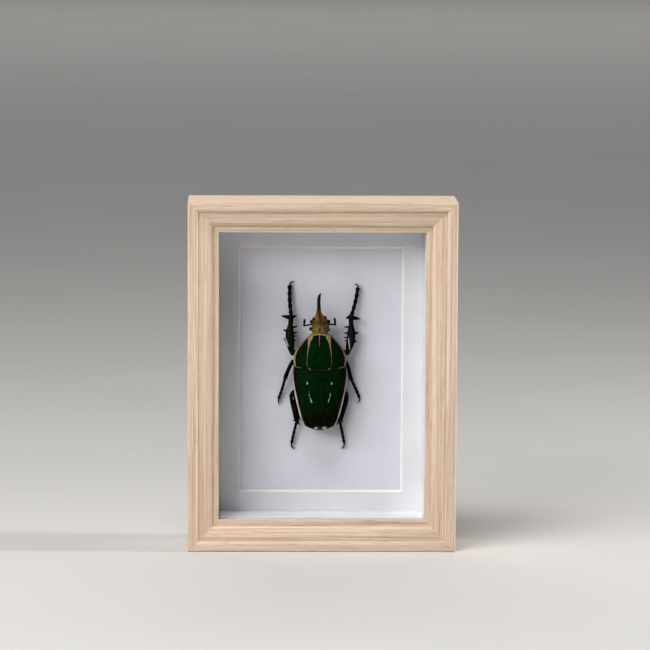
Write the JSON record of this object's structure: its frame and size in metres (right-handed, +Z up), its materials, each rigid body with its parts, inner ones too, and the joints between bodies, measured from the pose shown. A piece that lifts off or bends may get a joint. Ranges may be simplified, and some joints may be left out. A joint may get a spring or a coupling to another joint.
{
  "type": "framed beetle specimen",
  "caption": "Horned green flower beetle fixed on white card behind glass, in a deep pale wood box frame with a bevelled mat; stands on a shelf.",
  "frame": {"origin": "middle of the footprint on the surface that the frame stands on", "axes": "+Z up along the frame's height, -Y out of the glass towards the viewer, +X to the viewer's right"},
  "size_m": [0.161, 0.045, 0.211],
  "materials": {
    "pale_wood": "pale straight-grained moulding, satin",
    "clear_glass": "clear picture glass",
    "white_spacer": "matt white board",
    "white_mat": "white mat board with a bevelled window",
    "white_card": "smooth white card",
    "fibreboard": "brown hardboard, fine fibres",
    "bent_steel": "thin bright sheet",
    "green_shell": "velvety dark green insect shell with cream markings",
    "tan_shell": "velvety tan insect shell, horn brown to black",
    "black_shell": "glossy brown-black insect shell"
  },
  "bodies": {
    "root": {"frame_bottom_rail": "pale_wood", "frame_top_rail": "pale_wood", "frame_left_stile": "pale_wood", "frame_right_stile": "pale_wood", "glass_pane": "clear_glass", "spacer_left": "white_spacer", "spacer_right": "white_spacer", "spacer_top": "white_spacer", "spacer_bottom": "white_spacer", "mat_board": "white_mat", "backing_card": "white_card", "back_board": "fibreboard", "tab_left_upper": "bent_steel", "tab_left_lower": "bent_steel", "tab_right_upper": "bent_steel", "tab_right_lower": "bent_steel", "tab_top": "bent_steel", "tab_bottom": "bent_steel", "pronotum": "green_shell", "scutellum": "green_shell", "elytron_left": "green_shell", "elytron_right": "green_shell", "head": "tan_shell", "underbody": "black_shell", "antenna_left": "black_shell", "antenna_right": "black_shell", "front_leg_left": "black_shell", "front_leg_right": "black_shell", "middle_leg_left": "black_shell", "middle_leg_right": "black_shell", "hind_leg_left": "black_shell", "hind_leg_right": "black_shell"}
  },
  "joints": []
}
